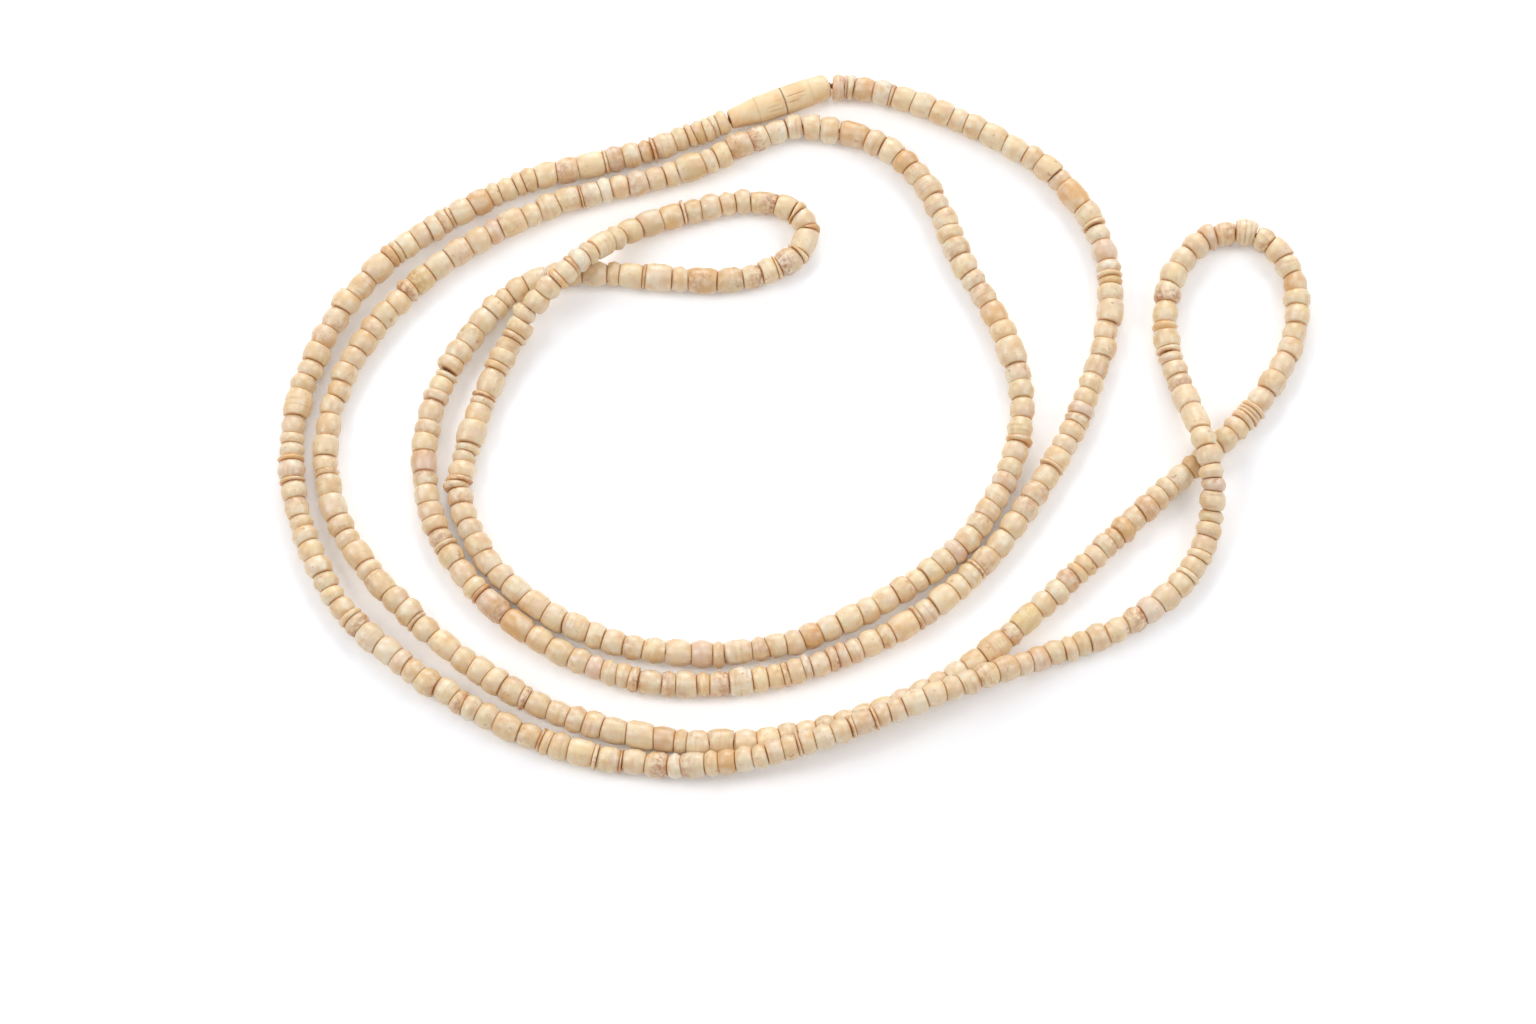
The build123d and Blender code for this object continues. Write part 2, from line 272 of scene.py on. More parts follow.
# How strongly a stain starts at its end, how steeply the brown of the ends fades, which is dirty end grain
# and painted shade in the joints between beads, and the span of the wood's patterns, in millimetres, from
# which each bead takes its own
STAIN_START = 1.3
BROWN_AND_SHADE_FADE = 1.5
PATTERN_SPAN = 80
# The share of the colour below that stains on the wood, and grime with painted shade on the plastic, cover at
# most
MARK_COVER = 0.85

# The softboxes: place in metres, the setting that holds the power, and the share of it. A low one beyond the
# necklace lights the beads' far sides, a weak one high above gives the satin its sheen, and two at the sides
# fill in.
SOFTBOXES = (
    ("far_softbox", (0, 0.88, 0.47), "far_power", 1.0),
    ("overhead_softbox", (0, 0.09, 1.0), "overhead_power", 1.0),
    ("left_softbox", (-0.71, 0, 0.71), "side_power", 1.1),
    ("right_softbox", (0.71, 0, 0.71), "side_power", 0.9),
)
# In metres: the side of each softbox, half the side of the floor, and the nearest that the camera sees
SOFTBOX_SIZE = 0.5
FLOOR_HALF = 1.5
CAMERA_NEAR = 0.01
# Colours that no setting holds
ROOM_LIGHT = "#F0F4FF"
LIGHT_FIBRES = "#B58B62"
PAPER_FIBRES = "#EDEDED"


# Colours and shader helpers


def linear(hex_colour):
    """An sRGB hex colour as linear red, green and blue."""
    parts = [int(hex_colour[place : place + 2], 16) / 255 for place in (1, 3, 5)]
    return tuple(part / 12.92 if part <= 0.04045 else ((part + 0.055) / 1.055) ** 2.4 for part in parts)


def add_node(tree, kind, settings=None, **inputs):
    """Adds one shader node. Settings are its own options; inputs are values or links, each under its socket's
    name with _ for a space."""
    node = tree.nodes.new(kind)
    for name, value in (settings or {}).items():
        setattr(node, name, value)
    for name, value in inputs.items():
        wanted = name.replace("_", " ").lower()
        socket = next(s for s in node.inputs if s.enabled and s.name.lower() == wanted)
        if isinstance(value, bpy.types.NodeSocket):
            tree.links.new(value, socket)
        elif socket.type == "RGBA" and len(value) == 3:
            socket.default_value = (*value, 1.0)
        else:
            socket.default_value = value
    return node


def new_material(name):
    """A new material that has no nodes yet, and its node tree."""
    material = bpy.data.materials.new(name)
    material.use_nodes = True
    material.node_tree.nodes.clear()
    return material, material.node_tree


def clouded(tree, colour, clouds):
    """A colour with clouds laid over it in turn. Each row is a pattern, the values between which the cloud
    comes in, its most, which may be a pattern too, and its colour."""
    for pattern, low, high, most, other in clouds:
        rise = {"From_Min": low, "From_Max": high, "To_Max": most}
        share = add_node(tree, "ShaderNodeMapRange", Value=pattern, **rise).outputs["Result"]
        layer = add_node(tree, "ShaderNodeMix", {"data_type": "RGBA"}, Factor=share, A=colour, B=other)
        colour = next(socket for socket in layer.outputs if socket.enabled)
    return colour


# What a user would change


def size_setting(name, description, millimetres):
    """A length, written in millimetres."""
    length = millimetres * MM
    return bpy.props.FloatProperty(name=name, description=description, default=length, unit="LENGTH")


def colour_setting(name, description, hex_colour):
    """A colour, written as an sRGB hex colour."""
    return bpy.props.FloatVectorProperty(
        name=name, description=description, default=linear(hex_colour), subtype="COLOR"
    )


def power_setting(name, description, watts):
    """A lamp's power."""
    return bpy.props.FloatProperty(name=name, description=description, default=watts, unit="POWER")


class BeadSettings(bpy.types.PropertyGroup):
    width: size_setting("Bead width", "Usual width of a bead", 3.68)
    width_spread: size_setting("Width spread", "How much bead widths differ", 0.13)
    big_width: size_setting("Big bead width", "Width of the charted big beads", 4.05)
    hole: size_setting("Hole width", "Width of the drilled hole", 0.9)
    gap: size_setting("Gap", "Least gap between two beads", 0.02)
    rounding: size_setting("Edge rounding", "Usual rounding of a bead's edges", 0.95)
    wear: size_setting("Edge wear", "Most that a worn edge is set back", 0.07)
    # The browner ends are partly dirty end grain and partly painted shade in the joints between beads
    brown_and_shade_reach: size_setting("Brown reach", "How far the browner wood reaches from the ends", 0.3)
    wander: size_setting("Wander", "How far beads usually sit beside the line", 0.07)
    push: size_setting("Push", "How far a charted bead is pushed out to the side", 0.45)
    tilt: bpy.props.FloatProperty(
        name="Tilt", description="Usual rise of the joint between two beads", default=0.06
    )
    slant: bpy.props.FloatProperty(
        name="Slant", description="Rise of a charted slanted end face", default=0.28
    )
    sides: bpy.props.IntProperty(name="Sides", description="Faces round a bead", default=12, min=10, max=16)
    cream: colour_setting("Cream", "Sanded sapwood", "#EAD3A9")
    whitish: colour_setting("Whitish", "The palest beads", "#EEE2C8")
    pinkish: colour_setting("Pinkish", "Beads near the pith", "#E2C5AA")
    orange_tan: colour_setting("Orange-tan", "Beads cut nearer the bark", "#DDB278")
    yellow: colour_setting("Yellow", "Yellow beads", "#E5CC93")
    dark: colour_setting("Dark", "Thin dark discs", "#BE9261")
    stain: colour_setting("Stain", "Reddish-brown spots and cracks", "#B06C3C")
    # End grain colour: dirty cut ends, and painted shade in the joints between beads
    end_grain_and_shade: colour_setting("End grain", "Cut ends, brown from oil and dirt", "#D08A3C")


class ThreadSettings(bpy.types.PropertyGroup):
    width: size_setting("Thread width", "Width of the cotton thread", 0.7)
    sides: bpy.props.IntProperty(
        name="Sides", description="Faces round the thread", default=8, min=6, max=16
    )
    colour: colour_setting("Thread colour", "Waxed cotton", "#8A6240")


class ClaspSettings(bpy.types.PropertyGroup):
    colour: colour_setting("Clasp colour", "Moulded tan plastic", "#EED0A0")
    pale: colour_setting("Pale colour", "Paler clouding in the plastic", "#F2E1BE")
    blotch: colour_setting("Blotch colour", "Warm clouding in the plastic", "#E6B07C")
    # Grime and painted shade in the grooves, the seam and the mouths, and painted shade at the collar's step
    grime_and_shade: colour_setting("Grime colour", "Grime in the grooves and the seam", "#96602F")
    groove_width: size_setting("Groove width", "Half the width of a groove", 0.07)
    groove_depth: size_setting("Groove depth", "Depth of the deepest groove", 0.14)
    # Grime and painted shade in the grooves
    groove_grime_and_shade: bpy.props.FloatProperty(
        name="Groove grime", description="How much grime lies in the deepest groove", default=0.4
    )
    # How far grime and painted shade reach from the seam and the collar's step
    grime_and_shade_reach: size_setting("Grime reach", "How far grime reaches from an edge", 0.12)
    sides: bpy.props.IntProperty(
        name="Sides", description="Faces round the clasp", default=192, min=48, max=256
    )


class StageSettings(bpy.types.PropertyGroup):
    distance: size_setting("Camera distance", "From the camera to its aim", 620)
    elevation: bpy.props.FloatProperty(
        name="Camera elevation",
        description="The camera's height above the horizon",
        default=math.radians(70),
        unit="ROTATION",
    )
    aim: bpy.props.FloatVectorProperty(
        name="Aim",
        description="The point in the middle of the picture",
        default=(-3.995 * MM, -13.553 * MM, 1.75 * MM),
        unit="LENGTH",
    )
    pixel: size_setting("Pixel", "What one pixel of the picture shows at the aim", 0.135)
    floor_colour: colour_setting("Floor colour", "White paper", "#FAFAFA")
    far_power: power_setting("Far power", "Power of the low softbox beyond the necklace", 4.5)
    overhead_power: power_setting("Overhead power", "Power of the softbox high above", 0.9)
    side_power: power_setting("Side power", "Mean power of the two softboxes at the sides", 3.5)
    sky_strength: bpy.props.FloatProperty(
        name="Room light", description="Strength of the light from all round", default=0.42
    )
    table_glow: bpy.props.FloatProperty(
        name="Table glow", description="How much the light table shines through the paper", default=0.125
    )


class NecklaceSettings(bpy.types.PropertyGroup):
    bead: bpy.props.PointerProperty(type=BeadSettings)
    thread: bpy.props.PointerProperty(type=ThreadSettings)
    clasp: bpy.props.PointerProperty(type=ClaspSettings)
    stage: bpy.props.PointerProperty(type=StageSettings)


# The string's line


def clasp_point(along, aside=0.0, height=CLASP_RADIUS):
    """A point along the clasp's axis from its seam, in millimetres, and aside from that axis."""
    turn = math.radians(CLASP_TURN)
    way = np.array((math.cos(turn), math.sin(turn), 0.0))
    across = np.array((-math.sin(turn), math.cos(turn), 0.0))
    seam = np.array((CLASP_SEAM[0] + MOVE[0], CLASP_SEAM[1] + MOVE[1], height))
    return seam + along * way - aside * across


def route_points():
    """The string's points in millimetres, with its two ends worked out from the clasp, as in the solids."""
    rows = np.array(STRING_ROUTE)
    between_ends = np.column_stack((rows[:, :2] + MOVE, BEAD_RADIUS + rows[:, 2] * CROSSING_HEIGHT))
    start = clasp_point(SOCKET_HALF_LENGTH + STRING_GAP, STRING_START_ASIDE, BEAD_RADIUS)
    finish = clasp_point(-SCREW_HALF_LENGTH - STRING_GAP, 0.0, BEAD_RADIUS)
    return np.vstack((start, between_ends, finish))


def smooth_line(points):
    """Points read from the NURBS spline of order 3 that has these control points and meets the outer two."""
    curve = bpy.data.curves.new("string_line", "CURVE")
    curve.dimensions = "3D"
    spline = curve.splines.new("NURBS")
    spline.points.add(len(points) - 1)
    spline.points.foreach_set("co", np.column_stack((points, np.ones(len(points)))).ravel())
    spline.order_u = 3
    spline.use_endpoint_u = True
    spline.resolution_u = LINE_STEPS
    holder = bpy.data.objects.new("string_line", curve)
    mesh = bpy.data.meshes.new_from_object(holder)
    line = np.empty(len(mesh.vertices) * 3)
    mesh.vertices.foreach_get("co", line)
    bpy.data.objects.remove(holder)
    bpy.data.curves.remove(curve)
    bpy.data.meshes.remove(mesh)
    return line.reshape(-1, 3)


def passed_along(line):
    """How far along a line each of its points lies, measured on its own length."""
    steps = np.linalg.norm(np.diff(line, axis=0), axis=1)
    return np.concatenate(([0.0], np.cumsum(steps)))


def along_line(line, distances):
    """Points at these distances along a line."""
    passed = passed_along(line)
    return np.column_stack([np.interp(distances, passed, line[:, axis]) for axis in range(3)])


def level_side(way):
    """A level unit vector square to each way, to its right seen from above."""
    side = np.column_stack((way[:, 1], -way[:, 0], np.zeros(len(way))))
    return side / np.linalg.norm(side, axis=1)[:, None]


def new_mesh_object(name, places, faces, material):
    """A mesh piece at the origin with smooth faces, which rides on the necklace's one body."""
    mesh = bpy.data.meshes.new(name)
    mesh.from_pydata(places.reshape(-1, 3), [], faces)
    mesh.polygons.foreach_set("use_smooth", np.ones(len(mesh.polygons), bool))
    mesh.materials.append(material)
    mesh.update()
    piece = bpy.data.objects.new(name, mesh)
    bpy.context.scene.collection.objects.link(piece)
    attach(piece, "root")
    return piece


def point_attribute(piece, name, kind, values):
    """Writes one value for each vertex, under a name that the materials read."""
    field = {"FLOAT": "value", "FLOAT_VECTOR": "vector", "FLOAT_COLOR": "color"}[kind]
    data = piece.data.attributes.new(name, kind, "POINT").data
    data.foreach_set(field, values.astype(np.float32).ravel())


# Beads


def read_chart(length):
    """Where each charted bead starts and ends along the string in millimetres, and its letters."""
    starts = [start for start, row in STRINGING_CHART]
    edges, letters = [], []
    for start, end, (_, row) in zip(starts, [*starts[1:], length], STRINGING_CHART):
        beads = re.findall(r"(\d+)([a-z]*)", row)
        sizes = np.array([float(size) for size, _ in beads])
        ends = start + np.cumsum(sizes) * (end - start) / sizes.sum()
        edges.extend(zip([start, *ends[:-1]], ends))
        letters.extend(marks for _, marks in beads)
    edges = np.array(edges)
    return edges[:, 0], edges[:, 1], letters


def bead_tints(bead, letters, chance):
    """Each bead's own colour: its charted tone, mixed a little with another, and made lighter or darker."""
    tones = {"p": bead.pinkish, "o": bead.orange_tan, "w": bead.whitish, "y": bead.yellow, "d": bead.dark}
    charted = [next((tones[mark] for mark in marks if mark in tones), bead.cream) for marks in letters]
    tints = np.array([tuple(tone) for tone in charted])
    others = np.array([tuple(tones[mark]) for mark in "wopy"])
    other = others[chance.integers(0, len(others), len(tints))]
    share = chance.uniform(0.0, TONE_MIX, len(tints))[:, None]
    light = chance.normal(1.0, LIGHT_SPREAD, len(tints))[:, None]
    return (tints * (1 - share) + other * share) * light


def lay_beads(bead):
    """Where every bead lies, and its size: a dictionary of arrays, one entry for each bead, in metres. A
    bead's axis is the chord of its stretch of the string, and it rests as high as that is lifted."""
    chance = np.random.default_rng(RANDOM_SEED)
    line = smooth_line(route_points()) * MM
    starts, ends, letters = read_chart(passed_along(line)[-1] / MM)
    middle = (starts + ends) / 2
    count = len(starts)
    has = {mark: np.array([mark in marks for marks in letters]) for mark in "sdbtrxn"}
    first = along_line(line, starts * MM)
    last = along_line(line, ends * MM)
    span = np.linalg.norm(last - first, axis=1)
    way = (last - first) / span[:, None]
    side = level_side(way)
    narrowest, widest = (bead.width * limit for limit in WIDTH_LIMITS)
    radius = chance.normal(bead.width, bead.width_spread, count).clip(narrowest, widest) / 2
    radius[has["b"]] = bead.big_width / 2
    radius[has["d"]] *= DISC_WIDTH
    aside = chance.normal(0, bead.wander, count) + (has["x"] + SMALL_PUSH * has["n"]) * bead.push
    centre = (first + last) / 2 + side * aside[:, None]
    radius = np.minimum(radius, room_beside(line, centre, middle * MM))
    lifted = centre[:, 2] - BEAD_RADIUS * MM
    centre[:, 2] = np.minimum(lifted + radius, cad_box[1][2] - radius)
    # At a bend two beads meet at their inner edges, so the gap at their middle grows with the turn
    turn = np.arccos(np.clip((way[1:] * way[:-1]).sum(axis=1), -1, 1))
    joint = bead.gap + (1 - NESTING) * turn * (radius[1:] + radius[:-1]) / 2
    before = np.concatenate(([bead.gap], joint)) / 2
    after = np.concatenate((joint, [bead.gap])) / 2
    length = np.maximum(span - before - after, SHORTEST_BEAD * MM)
    centre += way * ((before - after) / 2)[:, None]
    # Across a bead, its end face moves along the bead by half the change of way between it and its neighbour,
    # and each joint is cut a little aslant, less where one of its beads is thin
    bend = NESTING / 2 * (way[1:] - way[:-1])
    thinner = np.minimum(length[1:], length[:-1])
    aslant = chance.normal(0, bead.tilt, (count - 1, 3))
    aslant *= np.minimum(1, thinner / (FULL_TILT_LENGTH * MM))[:, None]
    none = np.zeros((1, 3))
    return {
        "centre": centre,
        "way": way,
        "side": side,
        "up": np.cross(side, way),
        "length": length,
        "radius": radius,
        "tint": bead_tints(bead, letters, chance),
        "stain": np.where(has["s"], 1.0, chance.uniform(0, 1, count) ** STAIN_RARITY * STRAY_MARK),
        "ringed": np.where(has["r"], 1.0, chance.uniform(0, 1, count) ** RING_RARITY * STRAY_MARK),
        "slanted": has["t"],
        "start_lean": np.vstack((none, aslant + bend)),
        "end_lean": np.vstack((aslant - bend, none)),
        "chance": chance.uniform(0, 1, (count, CHANCES)),
        "first": middle < FIRST_LENGTH_END,
    }


def room_beside(line, centre, middle):
    """The largest radius that each bead can have: half the way to the nearest other strand, and the way to
    the clasp's outside, which doesn't count for the beads at the string's two ends."""
    passed = passed_along(line)
    apart = np.linalg.norm(centre[:, None] - line[None], axis=2)
    apart[np.abs(middle[:, None] - passed[None]) < SAME_STRAND * MM] = np.inf
    strands = apart.min(axis=1) / 2
    # Where one strand lies on another, both must fit one above the other into the height of the solids
    height = np.abs(line[apart.argmin(axis=1), 2] - centre[:, 2])
    stacked = height > strands
    strands[stacked] = np.minimum(strands[stacked], cad_box[1][2] / 4)
    probes = np.linspace(-SCREW_HALF_LENGTH, SOCKET_HALF_LENGTH, CLASP_PROBES)
    clasp = np.array([clasp_point(along) for along in probes]) * MM
    apart = np.linalg.norm(centre[:, None] - clasp[None], axis=2).min(axis=1) - CLASP_RADIUS * MM
    ends = np.minimum(middle, passed[-1] - middle) < SAME_STRAND * MM
    return np.minimum(strands, np.where(ends, np.inf, apart))


def kept_in_box(places):
    """The beads' points, with each bead that sticks out of a side of the solids' box moved in level."""
    low, high = (np.array(corner) for corner in cad_box)
    over = np.maximum(places.max(axis=(1, 2)) - high + BOX_MARGIN * MM, 0)
    under = np.maximum(low + BOX_MARGIN * MM - places.min(axis=(1, 2)), 0)
    move = under - over
    move[:, 2] = 0
    return places + move[:, None, None]


def between(limits, luck):
    """The value between two limits that luck picks, from 0 for the first to 1 for the second."""
    return limits[0] + (limits[1] - limits[0]) * luck


def bead_profiles(bead, beads):
    """Each bead's profile, as places along the bead and radii, from the hole's edge over one end face, the
    barrel and the other end face: each edge falls away from the barrel in two steps, a long flat one and a
    short steep one, as on a bead that is turned and then tumbled."""
    length = beads["length"][:, None]
    radius = beads["radius"][:, None]
    luck = beads["chance"]
    reach = np.minimum(bead.rounding * between(EDGE_REACH, luck[:, :1]), EDGE_LIMIT * length)
    depth = bead.rounding * between(EDGE_DEPTH, luck[:, 1:2])
    depth *= np.minimum(1, length / (FULL_EDGE_LENGTH * MM))
    hole = np.full_like(length, bead.hole / 2)
    radii = np.hstack((hole, radius - depth, radius - LIP_DIP * depth, radius))
    places = np.hstack((0 * length, 0 * length, LIP_PLACE * reach, reach))
    return np.hstack((places, length - places[:, ::-1])), np.hstack((radii, radii[:, ::-1]))


def bead_surface(bead, beads):
    """The beads' points, one grid of profile by turn for each bead, and each point's place in its own bead,
    its nearness to the bead's start, and its profile's place along the bead.

    Round the bead, the radius falls by small shares times 1 - cos(2 t + phase) and 1 - cos(3 t + phase). From
    its middle to one end the bead narrows evenly, and its edges are worn by a random share of the wear. Each
    end face is set in by radius * lean * (1 + cos(t - direction)) / 2 and tilted to meet its neighbour."""
    length = beads["length"][:, None, None]
    luck = beads["chance"][:, :, None, None]
    profile_place, profile_radius = (each[:, :, None] for each in bead_profiles(bead, beads))
    full_turn = 2 * math.pi
    turns = np.linspace(0, full_turn, bead.sides, endpoint=False) + luck[:, 2] * full_turn
    x = profile_place + 0 * turns
    share = x / length - 0.5
    hole = bead.hole / 2
    rim = (profile_radius - hole) / (beads["radius"][:, None, None] - hole)
    wear = np.random.default_rng(RANDOM_SEED + 1).uniform(0, 1, x.shape) ** 2 * bead.wear
    wear *= np.array(ROW_WEAR)[:, None]
    two, three = (luck[:, column] * full_turn for column in (3, 4))
    swell = OVAL * (np.cos(2 * turns + two) - 1) + THREE_SIDED * (np.cos(3 * turns + three + 2 * share) - 1)
    taper = (luck[:, 6] - 0.5) * TAPER * share
    swollen = profile_radius * (1 + (swell + taper - np.abs(taper)) * rim) - wear
    slant = np.where(beads["slanted"], bead.slant, 0.0)[:, None, None]
    at_start = np.clip(0.5 - share, 0, 1)
    at_end = np.clip(0.5 + share, 0, 1)
    start_in = (1 + np.cos(turns - luck[:, 9] * full_turn)) / 2 * between(FACE_LEAN, luck[:, 7])
    end_in = (1 + np.cos(turns - luck[:, 10] * full_turn)) / 2 * (between(FACE_LEAN, luck[:, 8]) + slant)
    most = LEAN_LIMIT * length
    x = x + at_start * np.minimum(swollen * start_in, most) - at_end * np.minimum(swollen * end_in, most)
    y = swollen * np.cos(turns)
    z = swollen * np.sin(turns)
    for share_here, lean_name in ((at_start, "start_lean"), (at_end, "end_lean")):
        toward_side = (beads[lean_name] * beads["side"]).sum(axis=1)[:, None, None]
        toward_up = (beads[lean_name] * beads["up"]).sum(axis=1)[:, None, None]
        x = x + share_here * (y * toward_side + z * toward_up)
    places = beads["centre"][:, None, None]
    for axis, part in (("way", x - length / 2), ("side", y), ("up", z)):
        places = places + beads[axis][:, None, None] * part[..., None]
    return kept_in_box(places), np.stack((x, y, z), axis=-1), at_start, profile_place


def bead_marks(bead, beads, at_start, profile_place):
    """How stained, ringed and brown each point is. A stain fades from one end of its bead on, and the brown
    lies
    within a short way of both cut ends: partly dirty end grain, partly painted shade in the joints between
    beads."""
    end_distance = np.minimum(profile_place, profile_place[:, ::-1]) + 0 * at_start
    # Painted shade: this brown darkens the joints between beads as well as standing for dirty end grain
    end = np.clip(1 - end_distance / bead.brown_and_shade_reach, 0, 1) ** BROWN_AND_SHADE_FADE
    from_start = beads["chance"][:, 11, None, None] < 0.5
    stain = np.where(from_start, at_start, 1 - at_start) * STAIN_START * beads["stain"][:, None, None]
    return np.stack((np.clip(stain, 0, 1), beads["ringed"][:, None, None] + 0 * end, end), axis=-1)


def grid_faces(count, rows, columns):
    """Faces of count closed grids, each joined end to end both ways, as a bead's profile and its turn are."""
    row, column = np.meshgrid(np.arange(rows), np.arange(columns), indexing="ij")
    next_row, next_column = (row + 1) % rows, (column + 1) % columns
    corners = (row * columns + column, next_row * columns + column)
    corners += (next_row * columns + next_column, row * columns + next_column)
    one = np.stack(corners, axis=-1).reshape(-1, 4)
    return (np.arange(count)[:, None, None] * rows * columns + one[None]).reshape(-1, 4)


def basil_wood(bead):
    """Turned and sanded basil wood: pale, close-grained, with soft orange, pinkish and whitish clouds, faint
    lathe rings, a few specks and cracks, and browner ends, where the cut grain takes up dirt and oil and
    where painted shade darkens the joints between beads. Satin from sanding and handling, never glossy."""
    material, tree = new_material("turned_basil_wood")
    place = add_node(tree, "ShaderNodeAttribute", {"attribute_name": "bead_place"}).outputs["Vector"]
    tint = add_node(tree, "ShaderNodeAttribute", {"attribute_name": "bead_tint"}).outputs["Color"]
    marks = add_node(tree, "ShaderNodeAttribute", {"attribute_name": "bead_marks"}).outputs["Vector"]
    stain, ringed, end = add_node(tree, "ShaderNodeSeparateXYZ", Vector=marks).outputs
    along = add_node(tree, "ShaderNodeMapping", Vector=place, Scale=(0.35, 1.0, 1.0)).outputs["Vector"]
    across = add_node(tree, "ShaderNodeMapping", Vector=place, Scale=(1.0, 0.12, 0.12)).outputs["Vector"]
    # Places are in millimetres, so clouds are about 2.4 and 1.3 mm wide, and cracks 0.6 mm. The grain's
    # 0.25 mm and the lathe rings' 0.4 mm are coarser than the real ones, so that they show
    broad, small, cracks, grain, rings = (
        add_node(tree, "ShaderNodeTexNoise", Vector=at, Scale=scale, Detail=detail, Roughness=rough).outputs
        for at, scale, detail, rough in (
            (place, 0.42, 1.5, 0.5),
            (place, 0.8, 3.0, 0.6),
            (place, 1.7, 3.0, 0.65),
            (along, 4.0, 3.0, 0.6),
            (across, 2.6, 1.5, 0.5),
        )
    )
    orange, pink, pale = add_node(tree, "ShaderNodeSeparateColor", Color=broad["Color"]).outputs
    small_orange, speck, mottle = add_node(tree, "ShaderNodeSeparateColor", Color=small["Color"]).outputs
    crack, grain, rings = cracks["Fac"], grain["Fac"], rings["Fac"]
    ring_share = add_node(tree, "ShaderNodeMapRange", Value=ringed, To_Min=0.04, To_Max=0.45)
    spots = add_node(tree, "ShaderNodeMapRange", Value=mottle, From_Min=0.3, From_Max=0.55, To_Max=MARK_COVER)
    spots = add_node(tree, "ShaderNodeMapRange", Value=stain, To_Max=spots.outputs["Result"])
    clouds = (
        (pale, 0.48, 0.66, 0.6, bead.whitish),
        (orange, 0.5, 0.68, 0.6, bead.orange_tan),
        (small_orange, 0.54, 0.7, 0.55, bead.orange_tan),
        (pink, 0.52, 0.68, 0.45, bead.pinkish),
        (rings, 0.5, 0.72, ring_share.outputs["Result"], bead.stain),
        (grain, 0.55, 0.8, 0.14, bead.stain),
        (speck, 0.66, 0.72, 0.5, bead.stain),
        (crack, 0.38, 0.58, spots.outputs["Result"], bead.stain),
        # The ends' brown: dirty end grain, and painted shade in the joints between beads
        (end, 0.5, 1.0, 0.5, bead.end_grain_and_shade),
    )
    height = add_node(tree, "ShaderNodeMix", Factor=0.4, A=rings, B=grain).outputs["Result"]
    bump = add_node(tree, "ShaderNodeBump", Height=height, Strength=0.15, Distance=0.05 * MM)
    satin = {"From_Min": 0.3, "From_Max": 0.7, "To_Min": 0.36, "To_Max": 0.5}
    shader = add_node(
        tree,
        "ShaderNodeBsdfPrincipled",
        Base_Color=clouded(tree, tint, clouds),
        Roughness=add_node(tree, "ShaderNodeMapRange", Value=grain, **satin).outputs["Result"],
        Normal=bump.outputs["Normal"],
        IOR=1.6,
        Specular_IOR_Level=0.75,
        Subsurface_Weight=0.5,
        Subsurface_Radius=(1.0, 0.7, 0.45),
        Subsurface_Scale=0.7 * MM,
    )
    add_node(tree, "ShaderNodeOutputMaterial", Surface=shader.outputs["BSDF"])
    return material


class NECKLACE_OT_bead_string(bpy.types.Operator):
    """Strings the charted beads along the route, in the two lengths that the solids have"""

    bl_idname = "necklace.bead_string"
    bl_label = "Bead String"

    def execute(self, context):
        bead = context.scene.necklace.bead
        beads = lay_beads(bead)
        places, local, at_start, profile_place = bead_surface(bead, beads)
        marks = bead_marks(bead, beads, at_start, profile_place)
        material = basil_wood(bead)
        rows, columns = places.shape[1:3]
        for name, node, chosen in (
            ("beads_first_length", "bead_string_first", beads["first"]),
            ("beads_second_length", "bead_string_second", ~beads["first"]),
        ):
            count = int(chosen.sum())
            piece = new_mesh_object(name, places[chosen], grid_faces(count, rows, columns), material)
            offset = beads["chance"][chosen][:, None, None, 3:6] * PATTERN_SPAN
            point_attribute(piece, "bead_place", "FLOAT_VECTOR", local[chosen] / MM + offset)
            tint = np.concatenate((beads["tint"][chosen], np.ones((count, 1))), axis=1)
            spread = np.ones((count, rows, columns, 1))
            point_attribute(piece, "bead_tint", "FLOAT_COLOR", tint[:, None, None] * spread)
            point_attribute(piece, "bead_marks", "FLOAT_VECTOR", marks[chosen])
            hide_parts(node)
        return {"FINISHED"}


# Thread


def waxed_cotton(thread):
    """Waxed cotton thread: brown, with lighter fibres here and there, a rough skin, and dull from wear."""
    material, tree = new_material("waxed_cotton_thread")
    place = add_node(tree, "ShaderNodeTexCoord").outputs["Object"]
    # Fibres 0.17 mm apart, coarser than cotton's own, so that they show
    fibres = add_node(tree, "ShaderNodeTexNoise", Vector=place, Scale=6 / MM, Detail=2.0).outputs["Fac"]
    bump = add_node(tree, "ShaderNodeBump", Height=fibres, Strength=0.6, Distance=0.06 * MM)
    shader = add_node(
        tree,
        "ShaderNodeBsdfPrincipled",
        Base_Color=clouded(tree, thread.colour, ((fibres, 0.35, 0.7, 1.0, linear(LIGHT_FIBRES)),)),
        Roughness=0.8,
        Normal=bump.outputs["Normal"],
    )
    add_node(tree, "ShaderNodeOutputMaterial", Surface=shader.outputs["BSDF"])
    return material


